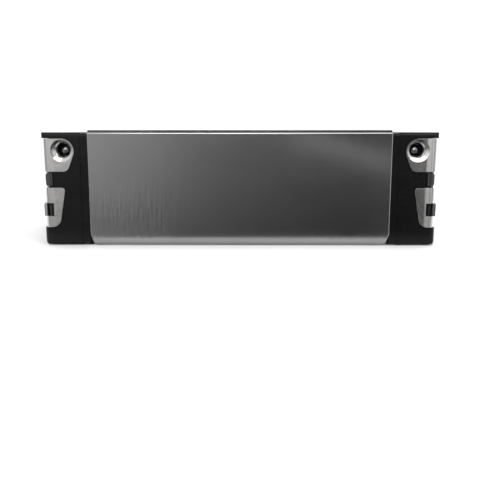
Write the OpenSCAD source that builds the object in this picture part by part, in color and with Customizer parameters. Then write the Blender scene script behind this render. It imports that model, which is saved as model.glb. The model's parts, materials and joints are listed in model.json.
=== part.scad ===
// Linear guide carriage, long slim type for a 34 mm wide profiled rail.
// +X is the travel direction, +Y is the left side, +Z is up. The origin is on the
// bottom plane, under the middle of the carriage.

/* [Body] */
// Length of the steel body along the rail
body_l = 105.5; // [90:0.5:120]
// Width of the steel body
body_w = 70; // [70:0.5:74]
// Height of the steel body, bottom to mounting face
body_h = 40.4; // [40.4:0.1:44]
// Chamfer on the long edges of the body
body_chamfer = 1.1; // [0.5:0.1:1.5]

/* [Mounting holes] */
// Hole distance along the rail
bolt_span_x = 72; // [60:1:74]
// Hole distance across the rail
bolt_span_y = 50; // [46:1:52]
// Wall radius of the M8 tapped hole
bolt_hole_r = 3.4; // [3:0.1:3.6]
// Usable depth of the tapped hole
bolt_depth = 13; // [8:0.5:13]

/* [Ball circuits] */
// Ball diameter
ball_d = 6.35; // [6:0.05:6.35]
// Balls in each straight row
row_count = 16; // [14:1:16]
// Radius of the turn between the loaded row and the return row
turn_r = 6.45; // [6.4:0.05:6.5]
// Tilt of the upper circuits from the horizontal
upper_tilt = 18; // [16:1:20]
// Tilt of the lower circuits from the horizontal
lower_tilt = 8; // [6:1:9]

/* [End assemblies] */
// Distance from the body to the outer face of the end cap
cap_l = 16.4; // [16.4:0.05:17]
// Half width of the end cap
cap_hw = 34.5; // [34.3:0.1:34.6]
// Top of the end cap
cap_top = 39.6; // [39.4:0.1:40]
// Sheet thickness of the threaded plate
sheet_t = 1.0; // [0.9:0.05:1.0]

/* [Hidden] */
$fn = 48;

big = 200;                       // longer than any cut needs
body_x = body_l / 2;             // end face of the steel body
body_y = body_w / 2;             // side face of the steel body
cap_x = body_x + cap_l;          // outer face of the end cap

// Rail that the carriage runs on, as its section sits under the carriage
rail_hw = 17;                    // half width of the head and the foot
rail_top = 23.55;
rail_waist_hw = 10.9;
row_mid_z = 10;                  // height midway between the ball rows
row_y = 14.6;                    // distance of the loaded rows from the middle
row_rise = 4.9;                  // half of the distance between the rows
rail_groove_r = 3.3;
head_z = 19.5;                   // underside of the rail head at its side
groove_half_angle = 40;

// Ball rows: [middle of the row in Y and Z] on the left side
upper_row = [row_y, row_mid_z + row_rise];
lower_row = [row_y, row_mid_z - row_rise];
ball_r = ball_d / 2;
ball_pitch = body_l / row_count;
channel_r = ball_r + 0.2;
tube_r = channel_r + 0.8;
bore_fit = 0.025;                // radial gap of the tube in its bore
turn_balls = 3;

// Steel body section
ceiling_z = 24.75;
pocket_y = 20.9;                 // inner wall of each leg
seat_gap = 0.5;                  // half height of the slot between the raceways
raceway_back = 5.6;              // ball centre to the back of the raceway
raceway_front = 2.0;             // ball centre to the front of the raceway
raceway_edge = 3.3;              // half width of the raceway on its outer side
raceway_groove_r = 0.52 * ball_d;
raceway_gap = 0.02;              // ball to groove bottom
nose_y = 14.55;                  // inner face of the raceways
corner_cut = [1.4, 4.0];         // bevel on the lower corners of the body, side view

// End assembly, distances from the middle of the carriage
base_t = 2.8;                    // base plate between the body and the end cap
base_inset = 0.2;                // how far its edge sits back from the end cap's
plate_x = cap_x - 0.7;           // outer face of the threaded plate
seal_x = plate_x - sheet_t;      // outer face of the end seal
seal_t = 2.0;
insert_t = 1.6;
bend_r = 2.0;                    // outer radius of the sheet's bend
tab_y = 34.8;                    // outer face of the side tabs
bend_x = plate_x - bend_r;
bend_y = tab_y - bend_r;
plate_z = [6.5, 37.4];           // lower and upper edge of the threaded plate
notch_z = [20.4, 26.0];          // gap between the side tabs
lug_z = [21.1, 25.6];            // lug of the end seal in that gap
port_z = 33.5;                   // height of all grease ports
port_x = 61.4;                   // side grease ports
port_r = 2.5;                    // wall radius of the M6 tapped hole
collar_r = 3.3;
collar_l = 2.0;
countersink_r = 2.9;             // start of the thread in a side grease port
dish = [61.75, 33.25];           // middle of the dished ring around a side port
dish_r = 3.9;
dish_rim = 1.3;                  // width of the ring's slope
dish_depth = 0.6;
dome_r = 2.1;                    // domed closure behind a side grease port
window_x = 65.3;                 // window in the lower side tab, up to the bend
window_z = [10.4, 15.0];
tongue_y = 34.7;                 // outer edge of the unbent strip beside the window
tongue_step = 0.3;               // how far that strip stands out from the plate
screw_points = [[22, 33], [30.2, 13]];
screw_r = 1.48;
screw_hole_r = 1.5;
screw_depth = 9;
head_r = 2.75;
head_h = 1.05;
accessory_point = [29, 23.05];   // M3 holes for end accessories
accessory_r = 1.25;

// ---------------------------------------------------------------- helpers

// Points along an arc, in degrees
function arc(c, r, a0, a1, n = 10) =
    [for (i = [0:n]) c + r * [cos(a0 + (a1 - a0) * i / n), sin(a0 + (a1 - a0) * i / n)]];

// Angle of the outward normal of the tangent line from circle p to circle q
function tangent_angle(p, q) =
    atan2(q[1] - p[1], q[0] - p[0]) - acos((p[2] - q[2]) / norm([q[0] - p[0], q[1] - p[1]]));

// Belt around circles [x, y, radius] listed counter-clockwise, grown by g
function belt(circles, g = 0, n = 10) = [
    for (k = [0:len(circles) - 1])
        let (
            count = len(circles),
            here = circles[k],
            a_in = tangent_angle(circles[(k + count - 1) % count], here),
            a_out = tangent_angle(here, circles[(k + 1) % count]),
            turn = (a_out - a_in + 720) % 360
        )
        each arc([here[0], here[1]], here[2] + g, a_in, a_in + turn, n)
];

// Circles in the corners of a rectangle
function box_circles(x0, y0, x1, y1, r) =
    [[x0 + r, y0 + r, r], [x1 - r, y0 + r, r], [x1 - r, y1 - r, r], [x0 + r, y1 - r, r]];

// Right half of the rail section grown by g, from the top to below the carriage
function rail_half(g) = concat(
    [[rail_hw + g, rail_top + g], [rail_hw + g, head_z - 0.6 * g]],
    arc(upper_row, rail_groove_r - g, 135 - groove_half_angle, 135 + groove_half_angle),
    [[rail_waist_hw + g, upper_row[1] - 1.4], [rail_waist_hw + g, lower_row[1] + 1.4]],
    arc(lower_row, rail_groove_r - g, 225 - groove_half_angle, 225 + groove_half_angle),
    [[rail_hw + g, 2 * row_mid_z - head_z + 0.6 * g], [rail_hw + g, -2]]
);

// The whole rail section grown by g
function rail_outline(g) =
    let (half = rail_half(g), last = len(half) - 1)
    concat(half, [for (i = [last:-1:0]) [-half[i][0], half[i][1]]]);

// Extrudes a section drawn in Y and Z along X, from x0 to x1
module along_x(x0, x1, points) {
    translate([x0, 0, 0])
        rotate([90, 0, 90])
            linear_extrude(x1 - x0) polygon(points);
}

// Extrudes an outline drawn in X and Z along Y, from y0 to y1
module along_y(y0, y1, points) {
    translate([0, y1, 0])
        rotate([90, 0, 0])
            linear_extrude(y1 - y0) polygon(points);
}

// Cylinder along X from x0 to x1 at a point in Y and Z
module rod_x(x0, x1, point, r) {
    translate([x0, point[0], point[1]])
        rotate([0, 90, 0])
            cylinder(h = x1 - x0, r = r);
}

// Cylinder or cone along Y from y0 to y1 at a point in X and Z
module rod_y(y0, y1, point, r0, r1) {
    translate([point[0], y0, point[1]])
        rotate([-90, 0, 0])
            cylinder(h = y1 - y0, r1 = r0, r2 = r1);
}

module block(x, y, z) {
    translate([x[0], y[0], z[0]])
        cube([x[1] - x[0], y[1] - y[0], z[1] - z[0]]);
}

module both_sides() {
    children();
    mirror([0, 1, 0]) children();
}

module left() children();
module right() mirror([0, 1, 0]) children();
module front() children();
module rear() mirror([1, 0, 0]) children();

// Turns a section of the upper row into the lower row's
module flip_row() {
    translate([0, 0, 2 * row_mid_z]) mirror([0, 0, 1]) children();
}

// ---------------------------------------------------------------- ball circuits

function tilt_of(upper) = upper ? upper_tilt : lower_tilt;
function row_of(upper) = upper ? upper_row : lower_row;
function return_of(upper) =
    row_of(upper) + 2 * turn_r * [cos(tilt_of(upper)), sin(tilt_of(upper))];
function turn_centre(upper) = (row_of(upper) + return_of(upper)) / 2;

// Frame of a front turn: local X outward along the rail, local Y from load to return
module turn_frame(upper) {
    translate([body_x, turn_centre(upper)[0], turn_centre(upper)[1]])
        rotate([tilt_of(upper), 0, 0])
            children();
}

module turn_channel(upper, r = channel_r) {
    turn_frame(upper)
        rotate([0, 0, -90])
            rotate_extrude(angle = 180)
                translate([turn_r, 0]) circle(r = r);
}

module straight_balls(point) {
    color("gainsboro")
        for (i = [0:row_count - 1])
            translate([(i - (row_count - 1) / 2) * ball_pitch, point[0], point[1]])
                sphere(r = ball_r);
}

module turn_ball_group(upper) {
    color("gainsboro")
        turn_frame(upper)
            for (i = [0:turn_balls - 1])
                rotate([0, 0, -90 + (i + 0.5) * 180 / turn_balls])
                    translate([turn_r, 0, 0])
                        sphere(r = ball_r);
}

// ---------------------------------------------------------------- steel body

body_section = [
    [-body_y + body_chamfer, body_h], [-body_y, body_h - body_chamfer],
    [-body_y, body_chamfer], [-body_y + body_chamfer, 0],
    [body_y - body_chamfer, 0], [body_y, body_chamfer],
    [body_y, body_h - body_chamfer], [body_y - body_chamfer, body_h]
];

seat_line = row_rise - raceway_back * sqrt(2);   // height of the V seat above the middle at row_y

channel_half = [
    [pocket_y, ceiling_z],
    [pocket_y, row_mid_z + seat_line + pocket_y - row_y],
    [row_y + seat_gap - seat_line, row_mid_z + seat_gap],
    [row_y + seat_gap - seat_line, row_mid_z - seat_gap],
    [pocket_y, row_mid_z - seat_line - pocket_y + row_y],
    [pocket_y, -1]
];

module mounting_hole() {
    depth = bolt_depth + 2;
    translate([bolt_span_x / 2, bolt_span_y / 2, body_h - depth])
        cylinder(h = depth + 1, r = bolt_hole_r);
    translate([bolt_span_x / 2, bolt_span_y / 2, body_h - depth - 1.4])
        cylinder(h = 1.4, r1 = 0.4, r2 = bolt_hole_r);
    translate([bolt_span_x / 2, bolt_span_y / 2, body_h - 0.9])
        cylinder(h = 1, r1 = bolt_hole_r, r2 = bolt_hole_r + 1);
}

module lower_corner_cut() {
    along_y(-body_y - 1, body_y + 1, [
        [body_x - corner_cut[0], -0.01], [body_x + 1, -0.01],
        [body_x + 1, corner_cut[1] + 1], [body_x, corner_cut[1]]
    ]);
}

module runner_body() {
    color("silver")
        difference() {
            along_x(-body_x, body_x, body_section);
            along_x(-body_x - 1, body_x + 1, concat(
                channel_half,
                [for (i = [len(channel_half) - 1:-1:0]) [-channel_half[i][0], channel_half[i][1]]]
            ));
            both_sides()
                for (upper = [true, false])
                    rod_x(-body_x - 1, body_x + 1, return_of(upper), tube_r + bore_fit);
            for (end = [0, 1])
                mirror([end, 0, 0]) {
                    both_sides() {
                        mounting_hole();
                        for (point = screw_points)
                            rod_x(body_x - screw_depth, body_x + 1, point, screw_hole_r);
                    }
                    lower_corner_cut();
                }
        }
}

// ---------------------------------------------------------------- raceways and retainers

// Point at distance d towards the raceway and e across it, from the upper row
function at_row(d, e) = upper_row + [d + e, e - d] / sqrt(2);

module raceway_plate() {
    color("lightsteelblue")
        difference() {
            along_x(-body_x, body_x, [
                [nose_y, row_mid_z + seat_gap],
                [row_y + seat_gap - seat_line, row_mid_z + seat_gap],
                [pocket_y, row_mid_z + seat_line + pocket_y - row_y],
                at_row(raceway_front, raceway_edge),
                [nose_y, at_row(raceway_front, raceway_front * -1)[1]]
            ]);
            rod_x(-body_x - 1, body_x + 1,
                  at_row(ball_r + raceway_gap - raceway_groove_r, 0), raceway_groove_r);
        }
}

lip_r = ball_r + 0.175;          // radius of the retainers around the balls
lip_start = at_row(1.93, 3.4);

module upper_ball_retainer() {
    color("dimgray")
        difference() {
            along_x(-body_x, body_x, [
                [pocket_y - 0.05, row_mid_z + seat_line + pocket_y - row_y + 0.17],
                lip_start,
                [17.3, 15.9], [15.4, 17.5], [15.7, 18.15], [17.4, 19.1],
                [17.4, ceiling_z - 0.05], [pocket_y - 0.05, ceiling_z - 0.05]
            ]);
            rod_x(-body_x - 1, body_x + 1, upper_row, lip_r);
        }
}

module lower_ball_retainer() {
    color("dimgray")
        difference() {
            flip_row()
                along_x(-body_x, body_x, [
                    [pocket_y - 0.05, row_mid_z + seat_line + pocket_y - row_y + 0.17],
                    lip_start,
                    [17.3, 15.9], [15.4, 17.5], [15.7, 18.15], [17.4, 18.55],
                    [pocket_y - 0.05, 18.55]
                ]);
            rod_x(-body_x - 1, body_x + 1, lower_row, lip_r);
        }
}

module middle_ball_retainer() {
    tongue = seat_gap - 0.05;
    color("dimgray")
        difference() {
            along_x(-body_x, body_x, [
                [11.3, row_mid_z + 3.75], [12.4, row_mid_z + 3.25],
                [nose_y - 0.05, row_mid_z + 2.2], [nose_y - 0.05, row_mid_z + tongue],
                [17.9, row_mid_z + tongue], [17.9, row_mid_z - tongue],
                [nose_y - 0.05, row_mid_z - tongue], [nose_y - 0.05, row_mid_z - 2.2],
                [12.4, row_mid_z - 3.25], [11.3, row_mid_z - 3.75]
            ]);
            rod_x(-body_x - 1, body_x + 1, upper_row, lip_r);
            rod_x(-body_x - 1, body_x + 1, lower_row, lip_r);
        }
}

module side_seal() {
    color("black")
        along_x(-body_x + corner_cut[0], body_x - corner_cut[0], [
            [pocket_y - 0.05, 1.42], [17.3, 1.42], [17.06, 0.75], [17.5, 0.55],
            [18.6, 0.8], [19.4, 0.2], [pocket_y - 0.05, 0.2]
        ]);
}

module return_tube(upper) {
    color("whitesmoke")
        difference() {
            rod_x(-body_x, body_x, return_of(upper), tube_r);
            rod_x(-body_x - 1, body_x + 1, return_of(upper), channel_r);
        }
}

// ---------------------------------------------------------------- end cap and turn guides

guide_r = turn_r - 0.05;
guide_half_h = 3.9;
web_x = 1.0;
web_y = [18.4, 23.2];
web_z = [2.2, 20.6];

module guide_nose(upper, g) {
    intersection() {
        turn_frame(upper)
            cylinder(h = 2 * (guide_half_h + g), r = guide_r + g, center = true);
        block([body_x, body_x + 10], [0, 40], [-10, 40]);
    }
}

module turn_guide() {
    color("darkgray")
        difference() {
            union() {
                guide_nose(true, 0);
                guide_nose(false, 0);
                block([body_x, body_x + web_x], web_y, web_z);
            }
            turn_channel(true);
            turn_channel(false);
        }
}

upper_tab = [[61.85, 33.05, 4.35], [61.6, 28.5, 2.5], [74, 26.5, 0.5], [74, 36.9, 0.5]];
lower_tab = [[62.5, 19.1, 1.3], [66.2, 9.8, 3.3], [74, 7, 0.5], [74, 19.9, 0.5]];

// The cap's outer form: a plan with rounded outer corners, a side view with a rounded
// foot, and an end view with eased corners
module cap_form() {
    plan_r = 2.0;
    intersection() {
        translate([0, 0, 0.3])
            linear_extrude(cap_top - 0.3)
                polygon(concat(
                    [[body_x, cap_hw], [body_x, -cap_hw]],
                    arc([cap_x - plan_r, -cap_hw + plan_r], plan_r, -90, 0),
                    arc([cap_x - plan_r, cap_hw - plan_r], plan_r, 0, 90)
                ));
        along_y(-cap_hw, cap_hw, concat(
            [[body_x, cap_top], [body_x, 0.3]],
            arc([cap_x - 1.9, 2.2], 1.9, -90, 0),
            arc([cap_x - 0.6, cap_top - 0.6], 0.6, 0, 90)
        ));
        along_x(body_x, cap_x, belt([
            [-cap_hw + 0.8, 1.1, 0.8], [cap_hw - 0.8, 1.1, 0.8],
            [cap_hw - 1.2, cap_top - 1.2, 1.2], [-cap_hw + 1.2, cap_top - 1.2, 1.2]
        ]));
    }
}

// Room for the seal and the plate in the cap's outer face
module cap_front_recess() {
    pocket_hw = bend_y + 0.1;
    floor_x = seal_x - seal_t;
    block([floor_x, big], [-pocket_hw, pocket_hw], [plate_z[0] - 0.1, plate_z[1] + 0.1]);
    block([floor_x, big], [-22.6, 22.6], [0.9, plate_z[0]]);
    block([floor_x - insert_t, big], [-26.8, 26.8], [7.9, 35.7]);
    both_sides() {
        block([bend_x - 0.05, big], [pocket_hw - 1, 40], [plate_z[0] - 0.1, plate_z[1] + 0.1]);
        block([seal_x - seal_t - 0.3, big], [31, 40], [lug_z[0] - 0.1, lug_z[1] + 0.1]);
    }
}

// Room for one side's tabs, with the domed closure behind the side grease port
module cap_side_recess() {
    tab_floor = tab_y - sheet_t - 0.03;
    for (tab = [upper_tab, lower_tab])
        along_y(tab_floor, 40, belt(tab, 0.15));
    socket_y = tab_floor - collar_l - dome_r - 0.05;
    rod_y(tab_floor - 0.8, 40, dish, dish_r + 0.25, dish_r + 0.25);
    difference() {
        rod_y(socket_y, 40, [port_x, port_z], collar_r + 0.15, collar_r + 0.15);
        translate([port_x, socket_y, port_z]) sphere(r = dome_r);
    }
}

// Closed recess for feeding grease from above, with its sealing ring land
module cap_top_port() {
    translate([body_x + 7.2, 0, cap_top - 0.5])
        difference() {
            cylinder(h = 2, r = 5);
            translate([0, 0, -1]) cylinder(h = 1.4, r = 2.4);
        }
    translate([body_x + 7.2, 0, cap_top - 1.2]) cylinder(h = 2, r1 = 0.6, r2 = 1.6);
}

module cap_cuts(rail_gap) {
    along_x(body_x - 1, cap_x + 1, rail_outline(rail_gap));
    difference() {
        cap_front_recess();
        along_x(seal_x - seal_t - insert_t - 1, seal_x - seal_t, rail_outline(1.8));
    }
    both_sides() {
        cap_side_recess();
        for (upper = [true, false]) {
            guide_nose(upper, 0.05);
            turn_channel(upper);
        }
        block([body_x - 1, body_x + web_x + 0.05],
              [web_y[0] - 0.05, web_y[1] + 0.05], [web_z[0] - 0.05, web_z[1] + 0.05]);
        for (point = screw_points)
            rod_x(body_x - 1, big, point, 1.7);
    }
    rod_x(body_x + 9.5, big, [0, port_z], collar_r + 0.35);
    cap_top_port();
}

module base_plate() {
    hw = cap_hw - base_inset;
    color([0.1, 0.1, 0.105])
        difference() {
            along_x(body_x, body_x + base_t, belt([
                [-hw + 0.8, 1.1 + base_inset, 0.8], [hw - 0.8, 1.1 + base_inset, 0.8],
                [hw - 1.2, cap_top - 1.2 - base_inset, 1.2],
                [-hw + 1.2, cap_top - 1.2 - base_inset, 1.2]
            ]));
            cap_cuts(0.8);
        }
}

module end_cap() {
    color([0.07, 0.07, 0.075])
        difference() {
            intersection() {
                cap_form();
                block([body_x + base_t, big], [-40, 40], [-1, 50]);
            }
            cap_cuts(0.6);
        }
}

// ---------------------------------------------------------------- insert, seal, plate, screws

module lube_insert() {
    x0 = seal_x - seal_t - insert_t + 0.05;
    x1 = seal_x - seal_t - 0.05;
    color("ivory")
        difference() {
            along_x(x0, x1, belt(box_circles(-26.6, 8.1, 26.6, 35.5, 1)));
            along_x(x0 - 1, x1 + 1, rail_outline(1.95));
            both_sides() rod_x(x0 - 1, x1 + 1, screw_points[0], 2.0);
            rod_x(x0 - 1, x1 + 1, [0, port_z], collar_r + 0.3);
        }
}

module seal_lug() {
    lug_y = 34.6;
    lug_r = 1.5;
    inner_r = 1.0;
    x0 = seal_x - seal_t - 0.2;
    x1 = plate_x - 0.2;
    intersection() {
        translate([0, 0, lug_z[0]])
            linear_extrude(lug_z[1] - lug_z[0])
                polygon(concat(
                    [[x0, 31.2], [seal_x - 0.02, 31.2], [seal_x - 0.02, 31.5], [x1, 31.5]],
                    arc([x1 - lug_r, lug_y - lug_r], lug_r, 0, 90),
                    arc([x0 + inner_r, lug_y - inner_r], inner_r, 90, 180)
                ));
        along_y(30, 36, belt([
            [x0 + 0.3, lug_z[0] + 0.3, 0.3], [x1 - 1.2, lug_z[0] + 1.2, 1.2],
            [x1 - 1.5, lug_z[1] - 1.5, 1.5], [x0 + 0.3, lug_z[1] - 0.3, 0.3]
        ]));
    }
}

module end_seal() {
    x0 = seal_x - seal_t;
    color([0.03, 0.03, 0.03])
        difference() {
            union() {
                along_x(x0, seal_x, belt(box_circles(-bend_y, plate_z[0], bend_y, plate_z[1], 1)));
                along_x(x0, seal_x, belt(box_circles(-22.4, 1.1, 22.4, 12, 1)));
                along_x(seal_x - 0.5, plate_x - 0.25, rail_outline(1.75));
                both_sides() seal_lug();
            }
            along_x(x0 - 1, plate_x + 1, rail_outline(0.1));
            block([x0 - 1, plate_x + 1], [-30, 30], [-5, 1.1]);
            both_sides() {
                for (point = screw_points)
                    rod_x(x0 - 1, plate_x + 1, point, 1.8);
                rod_x(x0 - 1, plate_x + 1, accessory_point, 1.8);
            }
            rod_x(x0 - 1, plate_x + 1, [0, port_z], collar_r + 0.2);
        }
}

// One bent corner of the sheet between two heights
module sheet_bend(z) {
    intersection() {
        translate([bend_x, bend_y, z[0]])
            difference() {
                cylinder(h = z[1] - z[0], r = bend_r);
                translate([0, 0, -1]) cylinder(h = z[1] - z[0] + 2, r = bend_r - sheet_t);
            }
        block([bend_x, big], [bend_y, big], z);
    }
}

module side_tab(tab) {
    intersection() {
        along_y(tab_y - sheet_t, tab_y, belt(tab));
        block([0, bend_x], [0, big], [0, 40]);
    }
}

// Strip beside the window that stays straight where the rest of the edge is bent
module tongue() {
    translate([0, 0, window_z[0] + 0.05])
        linear_extrude(window_z[1] - window_z[0] - 0.1)
            polygon([
                [seal_x, bend_y - 0.1], [plate_x, bend_y - 0.1],
                [plate_x + tongue_step, bend_y + 0.6], [plate_x + tongue_step, tongue_y],
                [seal_x + tongue_step, tongue_y], [seal_x + tongue_step, bend_y + 0.7],
                [seal_x, bend_y + 0.1]
            ]);
}

module plate_side() {
    difference() {
        union() {
            side_tab(upper_tab);
            side_tab(lower_tab);
            sheet_bend([notch_z[1], plate_z[1]]);
            sheet_bend([plate_z[0], notch_z[0]]);
            rod_y(tab_y - sheet_t - 0.7, tab_y - sheet_t + 0.1, dish, dish_r, dish_r + 0.1);
            rod_y(tab_y - sheet_t - collar_l, tab_y - sheet_t, [port_x, port_z], collar_r, collar_r);
        }
        rod_y(tab_y - dish_depth, tab_y + 0.01, dish, dish_r - dish_rim, dish_r);
        rod_y(tab_y - sheet_t - collar_l - 1, tab_y + 1, [port_x, port_z], port_r, port_r);
        rod_y(tab_y - dish_depth - 0.4, tab_y - dish_depth, [port_x, port_z], port_r, countersink_r);
        rod_y(tab_y - dish_depth - 0.01, tab_y, [port_x, port_z], countersink_r, countersink_r);
        block([window_x, big], [bend_y, big], window_z);
    }
    tongue();
}

module threaded_plate() {
    color("lightgray") {
        difference() {
            union() {
                along_x(seal_x, plate_x, [
                    [-bend_y, plate_z[0]], [bend_y, plate_z[0]],
                    [bend_y, plate_z[1]], [-bend_y, plate_z[1]]
                ]);
                rod_x(plate_x - 4.2, plate_x - 0.5, [0, port_z], collar_r);
            }
            along_x(seal_x - 1, plate_x + 1, rail_outline(2.0));
            rod_x(plate_x - 6, plate_x + 1, [0, port_z], port_r);
            both_sides() {
                for (point = screw_points)
                    rod_x(seal_x - 1, plate_x + 1, point, 1.6);
                rod_x(seal_x - 1, plate_x + 1, accessory_point, accessory_r);
                block([seal_x - 1, big], [31.4, big], notch_z);
            }
        }
        both_sides() plate_side();
    }
}

module end_screw(point) {
    difference() {
        union() {
            rod_x(body_x - screw_depth + 1, plate_x + 0.5, point, screw_r);
            rod_x(plate_x, plate_x + head_h - 0.3, point, head_r);
            translate([plate_x + head_h - 0.3, point[0], point[1]])
                rotate([0, 90, 0])
                    cylinder(h = 0.3, r1 = head_r, r2 = head_r - 0.35);
        }
        translate([plate_x - 0.7, point[0], point[1]])
            rotate([0, 90, 0])
                cylinder(h = 3, r = 1.15, $fn = 6);
    }
}

module port_plug() {
    color("slategray")
        difference() {
            rod_x(plate_x - 4.1, plate_x - 0.4, [0, port_z], port_r - 0.02);
            translate([plate_x - 2.6, 0, port_z])
                rotate([0, 90, 0])
                    cylinder(h = 4, r = 1.74, $fn = 6);
        }
}

module end_screws() {
    color("darkgray")
        both_sides()
            for (point = screw_points)
                end_screw(point);
}

// ---------------------------------------------------------------- nodes

runner_body();

left() raceway_plate();  // raceway_upper_left
left() flip_row() raceway_plate();  // raceway_lower_left
right() raceway_plate();  // raceway_upper_right
right() flip_row() raceway_plate();  // raceway_lower_right

left() upper_ball_retainer();  // upper_ball_retainer_left
left() middle_ball_retainer();  // middle_ball_retainer_left
left() lower_ball_retainer();  // lower_ball_retainer_left
right() upper_ball_retainer();  // upper_ball_retainer_right
right() middle_ball_retainer();  // middle_ball_retainer_right
right() lower_ball_retainer();  // lower_ball_retainer_right
left() side_seal();  // side_seal_left
right() side_seal();  // side_seal_right

left() return_tube(true);  // return_tube_upper_left
left() return_tube(false);  // return_tube_lower_left
right() return_tube(true);  // return_tube_upper_right
right() return_tube(false);  // return_tube_lower_right

front() base_plate();  // base_plate_front
rear() base_plate();  // base_plate_rear
front() end_cap();  // end_cap_front
rear() end_cap();  // end_cap_rear
front() left() turn_guide();  // turn_guide_front_left
front() right() turn_guide();  // turn_guide_front_right
rear() left() turn_guide();  // turn_guide_rear_left
rear() right() turn_guide();  // turn_guide_rear_right
front() lube_insert();  // lube_insert_front
rear() lube_insert();  // lube_insert_rear
front() end_seal();  // end_seal_front
rear() end_seal();  // end_seal_rear
front() threaded_plate();  // threaded_plate_front
rear() threaded_plate();  // threaded_plate_rear
front() end_screws();  // end_screws_front
rear() end_screws();  // end_screws_rear
front() port_plug();  // port_plug_front
rear() port_plug();  // port_plug_rear

left() straight_balls(upper_row);  // load_balls_upper_left
left() straight_balls(return_of(true));  // return_balls_upper_left
left() front() turn_ball_group(true);  // front_turn_balls_upper_left
left() rear() turn_ball_group(true);  // rear_turn_balls_upper_left
left() straight_balls(lower_row);  // load_balls_lower_left
left() straight_balls(return_of(false));  // return_balls_lower_left
left() front() turn_ball_group(false);  // front_turn_balls_lower_left
left() rear() turn_ball_group(false);  // rear_turn_balls_lower_left
right() straight_balls(upper_row);  // load_balls_upper_right
right() straight_balls(return_of(true));  // return_balls_upper_right
right() front() turn_ball_group(true);  // front_turn_balls_upper_right
right() rear() turn_ball_group(true);  // rear_turn_balls_upper_right
right() straight_balls(lower_row);  // load_balls_lower_right
right() straight_balls(return_of(false));  // return_balls_lower_right
right() front() turn_ball_group(false);  // front_turn_balls_lower_right
right() rear() turn_ball_group(false);  // rear_turn_balls_lower_right
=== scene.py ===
import json
import math

import bmesh
import bpy
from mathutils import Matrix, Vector


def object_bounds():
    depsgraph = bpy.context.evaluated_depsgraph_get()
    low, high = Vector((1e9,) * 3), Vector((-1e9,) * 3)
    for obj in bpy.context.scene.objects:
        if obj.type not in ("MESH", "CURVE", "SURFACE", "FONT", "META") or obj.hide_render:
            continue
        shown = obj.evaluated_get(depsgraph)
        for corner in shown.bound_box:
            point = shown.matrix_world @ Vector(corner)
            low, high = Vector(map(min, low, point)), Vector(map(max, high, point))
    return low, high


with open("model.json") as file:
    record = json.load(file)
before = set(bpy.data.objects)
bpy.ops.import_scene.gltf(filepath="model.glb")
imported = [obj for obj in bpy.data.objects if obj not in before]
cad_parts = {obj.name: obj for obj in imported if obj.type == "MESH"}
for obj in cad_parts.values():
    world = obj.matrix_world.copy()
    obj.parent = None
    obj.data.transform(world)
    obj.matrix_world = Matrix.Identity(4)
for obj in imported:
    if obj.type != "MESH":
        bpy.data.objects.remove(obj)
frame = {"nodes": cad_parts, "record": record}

cad_lo, cad_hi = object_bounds()
MM = 0.001
nodes = frame["nodes"]
mounts = {m["name"]: m for m in frame["record"]["mounts"]}
slot_of = {s["node"]: s["material_slot"] for s in frame["record"]["subparts"]}

# a side grease port without the signs of its place: the same for all four
side_port = [abs(c) for c in mounts["side_lube_port_front_left"]["pos_m"]]
PORT_DOME_DEPTH = 3.18 * MM          # from the port's mount to the middle of the dome behind it
PORT_DOME_R = 2.3 * MM               # a little more than the dome
DOME_COLOUR = (0.30, 0.30, 0.31, 1)
DOME_ROUGHNESS = 0.18

# the dip of the sheet plates before their bend
BEND_START = cad_hi.x - 3.05 * MM
DIP_START = BEND_START - 1.9 * MM
DIP_END = BEND_START + 0.3 * MM
DIP_DEPTH = 0.22 * MM

# the waves that grinding left on the body: none at the first value, full at the second
RIPPLE_Z = (28 * MM, 12 * MM)
RIPPLE_X = (14 * MM, 32 * MM)        # either way from the middle
RIPPLE_DEPTH = 0.07 * MM
GRAIN_DEPTH = 0.05 * MM

# rounding of the edges of each kind of node
EDGE_RADIUS = {"body_steel": 0.28 * MM, "sheet_steel": 0.07 * MM, "black_plastic": 0.25 * MM}
CAP_SIDE_SHARE = 0.4                 # of that radius on the caps, below their top edges
ROUND_ABOVE = 32                     # degrees between faces from which an edge is rounded
SHARP_ABOVE = 14                     # degrees between faces from which an edge is shaded sharp
PORT_ZONE = 4.7 * MM                 # round a side port, where edges stay as they are
LUG_ZONE_X = cad_hi.x - 4.7 * MM     # the same round the lug of an end seal
LUG_ZONE_Z = (19.5 * MM, 26.8 * MM)
SHEET_OUTSIDE_Y = side_port[1] + 1.9 * MM   # past these values an edge is an outer one
SHEET_OUTSIDE_X = cad_hi.x - 1.3 * MM
CAP_OUTSIDE_Y = cad_hi.y - 0.8 * MM
CAP_TOP_Z = cad_hi.z - 1.0 * MM
WELD_DISTANCE = 0.002 * MM

# internal threads
M8 = {"minor_r": 3.4 * MM, "major_r": 4.0 * MM, "pitch": 1.25 * MM, "length": 11.2 * MM}
M8_START = 0.6 * MM                  # below the top face
PORT_THREAD = {"minor_r": 2.5 * MM, "major_r": 2.9 * MM, "pitch": 0.8 * MM, "length": 2.5 * MM}
PORT_THREAD_START = 0.7 * MM         # outside the port's mount, just behind the countersink
THREAD_STEPS = 32                    # for each turn
THREAD_OVERLAP = 0.1 * MM            # how far the cutter's foot stands inside the hole
THREAD_FOOT, THREAD_TIP = 0.40, 0.07   # half widths of the ridge, in pitches
THREAD_STUB = 0.03                   # the ridge's size at its very ends, of its full size


# ------------------------------------------------------------------ materials

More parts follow.
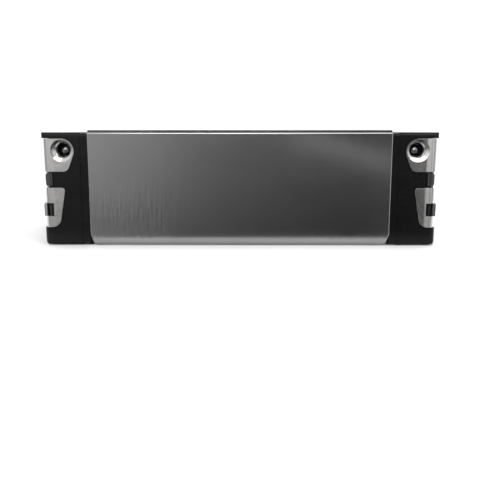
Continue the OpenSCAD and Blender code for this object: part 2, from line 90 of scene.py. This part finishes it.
class Mat:
    """A small builder for node materials."""

    def __init__(self, name):
        self.mat = bpy.data.materials.new(name)
        self.mat.use_nodes = True
        self.nt = self.mat.node_tree
        self.nt.nodes.clear()
        self.out = self.nt.nodes.new("ShaderNodeOutputMaterial")
        self.bsdf = self.nt.nodes.new("ShaderNodeBsdfPrincipled")
        self.nt.links.new(self.bsdf.outputs[0], self.out.inputs["Surface"])
        self.coord = self.nt.nodes.new("ShaderNodeTexCoord")

    def node(self, kind, **values):
        n = self.nt.nodes.new(kind)
        for key, value in values.items():
            setattr(n, key, value)
        return n

    def link(self, a, b):
        self.nt.links.new(a, b)

    def set(self, name, value):
        self.bsdf.inputs[name].default_value = value

    def mapped(self, scale, rotation=(0, 0, 0)):
        m = self.node("ShaderNodeMapping")
        m.inputs["Scale"].default_value = scale
        m.inputs["Rotation"].default_value = rotation
        self.link(self.coord.outputs["Object"], m.inputs["Vector"])
        return m.outputs[0]

    def noise(self, scale, stretch=(1, 1, 1), detail=4, rough=0.5, rotation=(0, 0, 0), distortion=0.0):
        n = self.node("ShaderNodeTexNoise")
        n.inputs["Scale"].default_value = scale
        n.inputs["Detail"].default_value = detail
        n.inputs["Roughness"].default_value = rough
        n.inputs["Distortion"].default_value = distortion
        self.link(self.mapped(stretch, rotation), n.inputs["Vector"])
        return n.outputs["Fac"]

    def ramp(self, fac, stops):
        r = self.node("ShaderNodeValToRGB")
        while len(r.color_ramp.elements) < len(stops):
            r.color_ramp.elements.new(0.5)
        for e, (pos, col) in zip(r.color_ramp.elements, stops):
            e.position = pos
            e.color = (col, col, col, 1) if isinstance(col, (int, float)) else (*col, 1)
        self.link(fac, r.inputs[0])
        return r.outputs[0]

    def math(self, op, a, b):
        n = self.node("ShaderNodeMath", operation=op)
        for i, v in enumerate((a, b)):
            if isinstance(v, (int, float)):
                n.inputs[i].default_value = v
            else:
                self.link(v, n.inputs[i])
        return n.outputs[0]

    def span(self, fac, lo, hi, source=(0.0, 1.0)):
        n = self.node("ShaderNodeMapRange")
        n.inputs["From Min"].default_value, n.inputs["From Max"].default_value = source
        n.inputs["To Min"].default_value = lo
        n.inputs["To Max"].default_value = hi
        self.link(fac, n.inputs["Value"])
        return n.outputs[0]

    def bump(self, height, strength, distance, before=None):
        n = self.node("ShaderNodeBump")
        n.inputs["Strength"].default_value = strength
        n.inputs["Distance"].default_value = distance
        self.link(height, n.inputs["Height"])
        if before is not None:
            self.link(before, n.inputs["Normal"])
        return n.outputs[0]


def object_place(m):
    """The place on the object as separate X, Y and Z."""
    n = m.node("ShaderNodeSeparateXYZ")
    m.link(m.coord.outputs["Object"], n.inputs[0])
    return n


def ground_steel(name, dark, light, rough, grain, grain_bump=0.06, ripple=0.0):
    """Ground steel: fine scratches along the grain over slow cloudy tone.

    ripple adds waves near the low corners.
    """
    m = Mat(name)
    cloud = m.noise(35, (0.6, 1, 1), 5, 0.55)
    fine = m.noise(900, grain, 3, 0.6)
    scratch = m.noise(260, grain, 6, 0.7)
    tone = m.math("ADD", m.math("MULTIPLY", cloud, 0.6), m.math("MULTIPLY", scratch, 0.4))
    m.link(m.ramp(tone, [(0.25, dark), (0.75, light)]), m.bsdf.inputs["Base Color"])
    m.set("Metallic", 1.0)
    r = m.math("ADD", m.math("MULTIPLY", fine, 0.10), m.math("MULTIPLY", cloud, 0.10))
    m.link(m.math("ADD", r, rough - 0.10), m.bsdf.inputs["Roughness"])
    normal = m.bump(fine, grain_bump, GRAIN_DEPTH)
    if ripple:
        waves = m.math("ADD", m.noise(40, (24, 1, 3), 2, 0.5, distortion=0.25),
                       m.math("MULTIPLY", m.noise(700, (1.4, 1, 1), 1, 0.5, rotation=(0, 0.5, 0)), 0.25))
        place = object_place(m)
        low = m.span(place.outputs["Z"], 0.0, 1.0, RIPPLE_Z)
        end = m.span(m.math("ABSOLUTE", place.outputs["X"], 0.0), 0.12, 1.0, RIPPLE_X)
        patch = m.ramp(m.noise(60, (1, 1, 1.6), 2, 0.5), [(0.30, 0.4), (0.50, 1.0)])
        height = m.math("MULTIPLY", waves, m.math("MULTIPLY", m.math("MULTIPLY", low, end), patch))
        normal = m.bump(height, ripple, RIPPLE_DEPTH, normal)
    m.link(normal, m.bsdf.inputs["Normal"])
    return m


def plastic(name, dark, light, rough, grain_scale, grain_depth, grain_strength, spec=0.4, polished=None):
    """Moulded plastic: spark-eroded grain, slight flow variation.

    polished is the middle of a bare steel dome, without the signs of its place, and its radius.
    """
    m = Mat(name)
    flow = m.noise(60, (1, 1, 2.5), 4, 0.5)
    grain = m.noise(grain_scale, (1, 1, 1), 2, 0.6)
    colour = m.ramp(flow, [(0.3, dark), (0.7, light)])
    surface = m.math("ADD", m.math("MULTIPLY", grain, 0.16), rough - 0.08)
    if polished:
        middle, radius = polished
        mirrored = m.node("ShaderNodeVectorMath", operation="ABSOLUTE")
        m.link(m.coord.outputs["Object"], mirrored.inputs[0])
        far = m.node("ShaderNodeVectorMath", operation="DISTANCE")
        m.link(mirrored.outputs[0], far.inputs[0])
        far.inputs[1].default_value = middle
        outside = m.math("GREATER_THAN", far.outputs["Value"], radius)
        surface = m.math("MAXIMUM", m.math("MULTIPLY", surface, outside), DOME_ROUGHNESS)
        bare = m.node("ShaderNodeMix", data_type="RGBA")
        m.link(outside, bare.inputs["Factor"])
        bare.inputs["A"].default_value = DOME_COLOUR
        m.link(colour, bare.inputs["B"])
        colour = bare.outputs["Result"]
        m.link(m.math("SUBTRACT", 1.0, outside), m.bsdf.inputs["Metallic"])
    m.link(colour, m.bsdf.inputs["Base Color"])
    m.link(surface, m.bsdf.inputs["Roughness"])
    m.set("Specular IOR Level", spec)
    m.link(m.bump(grain, grain_strength, grain_depth), m.bsdf.inputs["Normal"])
    return m


def dip_before_bend(m):
    """The sheet dips a little, and unevenly, just before its bend."""
    dip = m.node("ShaderNodeMapRange", interpolation_type="SMOOTHSTEP")
    dip.inputs["From Min"].default_value = DIP_START
    dip.inputs["From Max"].default_value = DIP_END
    dip.inputs["To Min"].default_value = 1.0
    dip.inputs["To Max"].default_value = 0.0
    m.link(m.math("ABSOLUTE", object_place(m).outputs["X"], 0.0), dip.inputs["Value"])
    uneven = m.span(m.noise(220, (1, 1, 1), 2, 0.5), 0.8, 1.2)
    before = m.bsdf.inputs["Normal"].links[0].from_socket
    m.link(m.bump(m.math("MULTIPLY", dip.outputs[0], uneven), 1.0, DIP_DEPTH, before),
           m.bsdf.inputs["Normal"])


def oiled_felt(name, dark, light):
    """Felt: fine fuzz over slow blotches."""
    m = Mat(name)
    fuzz = m.noise(1400, (1, 1, 1), 8, 0.7)
    blotch = m.noise(90, (1, 1, 1), 4, 0.5)
    tone = m.math("ADD", m.math("MULTIPLY", fuzz, 0.5), m.math("MULTIPLY", blotch, 0.5))
    m.link(m.ramp(tone, [(0.3, dark), (0.7, light)]), m.bsdf.inputs["Base Color"])
    m.link(m.span(fuzz, 0.75, 0.95), m.bsdf.inputs["Roughness"])
    m.link(m.bump(fuzz, 0.6, 0.3 * MM), m.bsdf.inputs["Normal"])
    return m


port_dome = (side_port[0], side_port[1] - PORT_DOME_DEPTH, side_port[2])

# steel: dark, light, roughness, grain; plastic: dark, light, roughness, grain scale, depth and strength
materials = {
    "body_steel": ground_steel("body_steel", (0.26, 0.26, 0.265), (0.33, 0.33, 0.335), 0.13,
                               (60, 1, 1), grain_bump=0.05, ripple=0.6),
    "raceway_steel": ground_steel("raceway_steel", (0.42, 0.43, 0.45), (0.52, 0.53, 0.55), 0.22,
                                  (0.3, 20, 20)),
    "sheet_steel": ground_steel("sheet_steel", (0.44, 0.435, 0.43), (0.50, 0.495, 0.485), 0.16,
                                (1.5, 1.5, 1), grain_bump=0.02),
    "screw_steel": ground_steel("screw_steel", (0.42, 0.42, 0.42), (0.56, 0.56, 0.57), 0.25,
                                (1, 1, 1), grain_bump=0.10),
    "ball_steel": ground_steel("ball_steel", (0.72, 0.72, 0.74), (0.80, 0.80, 0.82), 0.08,
                               (1, 1, 1), grain_bump=0.01),
    "black_plastic": plastic("black_plastic", (0.002, 0.002, 0.0022), (0.004, 0.004, 0.0043), 0.25,
                             2600, 0.04 * MM, 0.18, spec=0.18, polished=(port_dome, PORT_DOME_R)),
    "grey_plastic": plastic("grey_plastic", (0.03, 0.03, 0.032), (0.045, 0.045, 0.048), 0.45,
                            2000, 0.03 * MM, 0.2),
    "tube_plastic": plastic("tube_plastic", (0.62, 0.61, 0.57), (0.70, 0.69, 0.65), 0.40,
                            1800, 0.03 * MM, 0.15),
    "seal_rubber": plastic("seal_rubber", (0.006, 0.006, 0.006), (0.010, 0.010, 0.010), 0.22,
                           1500, 0.02 * MM, 0.08, spec=0.9),
    "felt": oiled_felt("felt", (0.42, 0.36, 0.22), (0.62, 0.56, 0.40)),
}
dip_before_bend(materials["sheet_steel"])


# ------------------------------------------------------------------ threads, edges, shading

def thread_cutter(name, start, direction, length, minor_r, major_r, pitch):
    """A hidden helical ridge that cuts an internal thread, from start along direction.

    It grows over its first half turn and shrinks over its last.
    """
    direction = Vector(direction)
    side = direction.orthogonal().normalized()
    other = direction.cross(side)
    root_r = minor_r - THREAD_OVERLAP
    section = [(-THREAD_FOOT, root_r), (-THREAD_TIP, major_r), (THREAD_TIP, major_r), (THREAD_FOOT, root_r)]
    rings = int(length / pitch * THREAD_STEPS) + 1
    verts, faces = [], []
    for i in range(rings):
        turned = i / THREAD_STEPS
        a = math.tau * turned
        out = side * math.cos(a) + other * math.sin(a)
        left = (rings - 1 - i) / THREAD_STEPS
        grown = min(1.0, THREAD_STUB + 2 * turned, THREAD_STUB + 2 * left)
        for along, r in section:
            verts.append(Vector(start) + direction * (pitch * (turned + along * grown))
                         + out * (root_r + (r - root_r) * grown))
    for i in range(rings - 1):
        for j in range(4):
            a, b = 4 * i + j, 4 * i + (j + 1) % 4
            faces.append((a, b, b + 4, a + 4))
    faces += [(3, 2, 1, 0), tuple(4 * (rings - 1) + j for j in range(4))]
    mesh = bpy.data.meshes.new(name)
    mesh.from_pydata(verts, [], faces)
    bm = bmesh.new()
    bm.from_mesh(mesh)
    bmesh.ops.recalc_face_normals(bm, faces=bm.faces)
    bm.to_mesh(mesh)
    bm.free()
    for p in mesh.polygons:
        p.use_smooth = True
    along_helix = [abs(e.vertices[0] - e.vertices[1]) == 4 for e in mesh.edges]
    mesh.attributes.new("sharp_edge", "BOOLEAN", "EDGE").data.foreach_set("value", along_helix)
    cutter = bpy.data.objects.new(name, mesh)
    bpy.context.collection.objects.link(cutter)
    cutter.hide_render = True
    cutter.hide_viewport = True
    return cutter


def thread_cutters(node):
    """The cutters for the tapped holes of one node: M8 in the body, side ports in the threaded plates."""
    cutters = []
    if node == "runner_body":
        dims = mounts["top_bolts"]["dims"]
        for x in (-0.5, 0.5):
            for y in (-0.5, 0.5):
                start = (x * dims["spacing_x_mm"] * MM, y * dims["spacing_y_mm"] * MM, cad_hi.z - M8_START)
                cutters.append(thread_cutter(f"thread_m8_{len(cutters)}", start, (0, 0, -1), **M8))
    if node.startswith("threaded_plate"):
        end = node.rsplit("_", 1)[1]
        for side in ("left", "right"):
            port = mounts[f"side_lube_port_{end}_{side}"]
            place, axis = Vector(port["pos_m"]), Vector(port["axis"])
            inward = -axis if axis.dot(place) > 0 else axis
            start = place - inward * PORT_THREAD_START
            cutters.append(thread_cutter(f"thread_m6_{end}_{side}", start, inward, **PORT_THREAD))
    return cutters


def rounding(slot, a, b):
    """How much of its radius an edge gets: on sheet and caps, outer edges away from the ports and the lug."""
    middle = (a + b) / 2
    x, y, z = abs(middle.x), abs(middle.y), middle.z
    near_port = math.hypot(x - side_port[0], z - side_port[2]) < PORT_ZONE
    if slot == "body_steel" or (slot == "black_plastic" and z > CAP_TOP_Z):
        return 1.0
    if slot == "sheet_steel" and not near_port and (y > SHEET_OUTSIDE_Y or x > SHEET_OUTSIDE_X):
        return 1.0
    near_lug = x > LUG_ZONE_X and LUG_ZONE_Z[0] < z < LUG_ZONE_Z[1]
    if slot == "black_plastic" and not near_port and not near_lug and y > CAP_OUTSIDE_Y:
        return CAP_SIDE_SHARE
    return 0.0


def mark_edges(mesh, slot):
    """Mark the sharp edges of a CAD mesh, whose faces aren't joined yet, and weight those to round."""
    shortest = EDGE_RADIUS.get(slot, 0.0)

    def ends_of(key):
        return tuple(sorted(tuple(round(c * 1e6) for c in mesh.vertices[v].co) for v in key))

    normals_at = {}
    for p in mesh.polygons:
        for key in p.edge_keys:
            normals_at.setdefault(ends_of(key), []).append(p.normal)
    shading_limit, rounding_limit = (math.cos(math.radians(d)) for d in (SHARP_ABOVE, ROUND_ABOVE))
    sharp, weight = [], []
    for e in mesh.edges:
        normals = normals_at[ends_of(e.vertices)]
        turn = normals[0].dot(normals[1]) if len(normals) == 2 else 1.0
        a, b = (mesh.vertices[v].co for v in e.vertices)
        sharp.append(turn < shading_limit)
        wanted = turn < rounding_limit and (a - b).length > shortest
        weight.append(rounding(slot, a, b) if wanted else 0.0)
    mesh.attributes.new("sharp_edge", "BOOLEAN", "EDGE").data.foreach_set("value", sharp)
    mesh.attributes.new("bevel_weight_edge", "FLOAT", "EDGE").data.foreach_set("value", weight)


def finish_node(name, o):
    """Give a CAD node its material, its shading, its threads and its rounded edges."""
    slot = slot_of[name]
    mesh = o.data
    mesh.materials.clear()
    mesh.materials.append(materials[slot].mat)
    for p in mesh.polygons:
        p.use_smooth = True
        p.material_index = 0
    for stale in [a.name for a in mesh.attributes if a.name in ("custom_normal", "sharp_edge")]:
        mesh.attributes.remove(mesh.attributes[stale])
    weld = o.modifiers.new("weld", "WELD")
    weld.merge_threshold = WELD_DISTANCE
    if slot == "ball_steel":
        return
    mark_edges(mesh, slot)
    for cutter in thread_cutters(name):
        cut = o.modifiers.new(cutter.name, "BOOLEAN")
        cut.operation = "DIFFERENCE"
        cut.solver = "EXACT"
        cut.object = cutter
    flat = o.modifiers.new("flat", "DECIMATE")
    flat.decimate_type = "DISSOLVE"
    flat.angle_limit = math.radians(0.1)
    flat.delimit = {"NORMAL", "SHARP"}
    if slot in EDGE_RADIUS:
        edges = o.modifiers.new("edges", "BEVEL")
        edges.limit_method = "WEIGHT"
        edges.width = EDGE_RADIUS[slot]
        edges.segments = 2
        edges.harden_normals = True
        edges.use_clamp_overlap = False
        edges.miter_outer = "MITER_SHARP"
    normals = o.modifiers.new("normals", "WEIGHTED_NORMAL")
    normals.keep_sharp = True


for node_name, node_object in nodes.items():
    finish_node(node_name, node_object)


# ------------------------------------------------------------------ floor, light, camera

def stage_material(name, tone):
    """Pale matt surface that is clear from behind, so the object's underside can be looked at."""
    m = Mat(name)
    n = m.noise(6, (1, 1, 1), 3, 0.5)
    m.link(m.ramp(n, [(0.0, tone), (1.0, tone * 1.02)]), m.bsdf.inputs["Base Color"])
    m.set("Roughness", 0.9)
    m.set("Specular IOR Level", 0.1)
    sided = m.node("ShaderNodeMixShader")
    m.link(m.node("ShaderNodeNewGeometry").outputs["Backfacing"], sided.inputs[0])
    m.link(m.bsdf.outputs[0], sided.inputs[1])
    m.link(m.node("ShaderNodeBsdfTransparent").outputs[0], sided.inputs[2])
    m.link(sided.outputs[0], m.out.inputs["Surface"])
    return m.mat


FLOOR_HALF_WIDTH = 2.5
FLOOR_NEAR, FLOOR_FAR = -0.5, 0.35   # the flat part of the floor
FLOOR_SPLIT = -0.052                 # in front of this line the floor isn't seen in reflections
WALL_BEND_R, WALL_TOP = 0.5, 2.5
FLOOR_GAP = 0.05 * MM                # keeps the floor off the faces that stand on it


def floor_piece(name, profile, material, in_reflections):
    """A strip of the floor or wall that follows a profile in Y and Z."""
    verts, faces = [], []
    for y, z in profile:
        verts += [(side * FLOOR_HALF_WIDTH, y, z - FLOOR_GAP) for side in (-1, 1)]
    for i in range(len(profile) - 1):
        faces.append((2 * i, 2 * i + 1, 2 * i + 3, 2 * i + 2))
    mesh = bpy.data.meshes.new(name)
    mesh.from_pydata(verts, [], faces)
    for p in mesh.polygons:
        p.use_smooth = True
    o = bpy.data.objects.new(name, mesh)
    bpy.context.collection.objects.link(o)
    mesh.materials.append(material)
    o.visible_glossy = in_reflections


def backdrop():
    """A pale floor that curves up into a wall behind the object."""
    profile = [(FLOOR_SPLIT, 0.0), (FLOOR_FAR, 0.0)]
    steps = 16
    for i in range(1, steps + 1):
        a = math.radians(90 * i / steps)
        profile.append((FLOOR_FAR + WALL_BEND_R * math.sin(a), WALL_BEND_R * (1 - math.cos(a))))
    profile.append((FLOOR_FAR + WALL_BEND_R, WALL_TOP))
    material = stage_material("floor", 0.86)
    floor_piece("floor", profile, material, True)
    floor_piece("floor_front", [(FLOOR_NEAR, 0.0), (FLOOR_SPLIT, 0.0)], material, False)


backdrop()


def area_light(name, place, target, size, power):
    """A rectangular light at a place, turned towards its target, with its power in watts."""
    data = bpy.data.lights.new(name, "AREA")
    data.shape = "RECTANGLE"
    data.size, data.size_y = size
    data.energy = power
    o = bpy.data.objects.new(name, data)
    bpy.context.collection.objects.link(o)
    o.location = place
    o.rotation_euler = (Vector(target) - Vector(place)).to_track_quat("-Z", "Y").to_euler()
    return o


# the streak is a thin strip that the steel mirrors; spark gives the grease ports their bright dot
area_light("top_back", (0.0, 1.0, 1.0), (0, 0.1, 0), (1.8, 1.0), 8)
area_light("front_top", (0.2, -0.6, 0.56), (0, -0.035, 0.03), (1.1, 0.30), 4.5)
area_light("back_wall", (0.0, 0.2, 1.2), (0, 0.85, 0.5), (1.2, 0.4), 8)
streak = area_light("streak", (0.115, -0.535, 0.018), (0.035, -0.035, 0.034), (0.13, 0.008), 0.0034)
streak.rotation_euler.rotate_axis("Z", math.radians(-16))
streak.visible_camera = False
area_light("spark", (-0.03, -0.75, 0.22), (0, -0.035, 0.03), (0.18, 0.14), 0.8)


WORLD_STRENGTH = 2.0


def studio_world():
    """Soft surroundings for the steel to mirror; the camera itself sees plain white."""
    world = bpy.data.worlds.new("world")
    world.use_nodes = True
    nt = world.node_tree
    direction = nt.nodes.new("ShaderNodeSeparateXYZ")
    nt.links.new(nt.nodes.new("ShaderNodeTexCoord").outputs["Generated"], direction.inputs[0])

    def spread(axis, stops):
        """Brightness along one axis of the direction, from stops of direction and tone."""
        n = nt.nodes.new("ShaderNodeMapRange")
        n.inputs["From Min"].default_value = -1.0
        n.inputs["From Max"].default_value = 1.0
        nt.links.new(direction.outputs[axis], n.inputs["Value"])
        r = nt.nodes.new("ShaderNodeValToRGB")
        while len(r.color_ramp.elements) < len(stops):
            r.color_ramp.elements.new(0.5)
        for e, (at, tone) in zip(r.color_ramp.elements, stops):
            e.position = (at + 1) / 2
            e.color = (tone, tone, tone, 1)
        nt.links.new(n.outputs[0], r.inputs[0])
        return r.outputs[0]

    def combine(op, a, b):
        n = nt.nodes.new("ShaderNodeMath")
        n.operation = op
        nt.links.new(a, n.inputs[0])
        nt.links.new(b, n.inputs[1])
        return n.outputs[0]

    across = spread("X", [(-1.0, 0.35), (-0.88, 0.5), (-0.7, 0.66), (-0.4, 0.64), (-0.25, 0.54),
                          (-0.1, 0.29), (0.0, 0.17), (0.12, 0.11), (0.2, 0.085), (0.28, 0.14),
                          (0.4, 0.45), (0.6, 0.8), (0.85, 0.6), (1.0, 0.35)])
    height = spread("Z", [(-0.3, 0.22), (-0.16, 0.40), (-0.03, 0.72), (0.1, 0.95), (0.3, 1.0)])
    front = combine("MULTIPLY", across, height)
    behind = spread("Y", [(-0.4, 0.0), (0.3, 0.45)])
    overhead = spread("Z", [(0.75, 1.0), (0.92, 0.2)])
    total = combine("MULTIPLY", combine("MAXIMUM", front, behind), overhead)
    background = nt.nodes["Background"]
    nt.links.new(total, background.inputs[0])
    background.inputs[1].default_value = WORLD_STRENGTH
    plain = nt.nodes.new("ShaderNodeBackground")
    plain.inputs[0].default_value = (1, 1, 1, 1)
    seen = nt.nodes.new("ShaderNodeMixShader")
    nt.links.new(nt.nodes.new("ShaderNodeLightPath").outputs["Is Camera Ray"], seen.inputs[0])
    nt.links.new(background.outputs[0], seen.inputs[1])
    nt.links.new(plain.outputs[0], seen.inputs[2])
    nt.links.new(seen.outputs[0], nt.nodes["World Output"].inputs[0])
    bpy.context.scene.world = world


studio_world()

# place, turn and lens are those of a camera solved from the photo's outline
cam_data = bpy.data.cameras.new("camera")
cam = bpy.data.objects.new("camera", cam_data)
bpy.context.collection.objects.link(cam)
cam_data.sensor_width = 36.0
cam_data.lens = 46.5
cam_data.clip_start, cam_data.clip_end = 0.01, 20
pitch, yaw = math.radians(9.97), math.radians(-0.57)
forward = Vector((math.sin(yaw) * math.cos(pitch), math.cos(yaw) * math.cos(pitch), -math.sin(pitch)))
cam.location = (2.34 * MM, -251.13 * MM, 39.99 * MM)
cam.rotation_mode = "QUATERNION"
cam.rotation_quaternion = forward.to_track_quat("-Z", "Y")
bpy.context.scene.camera = cam
bpy.context.scene.view_settings.view_transform = "Standard"
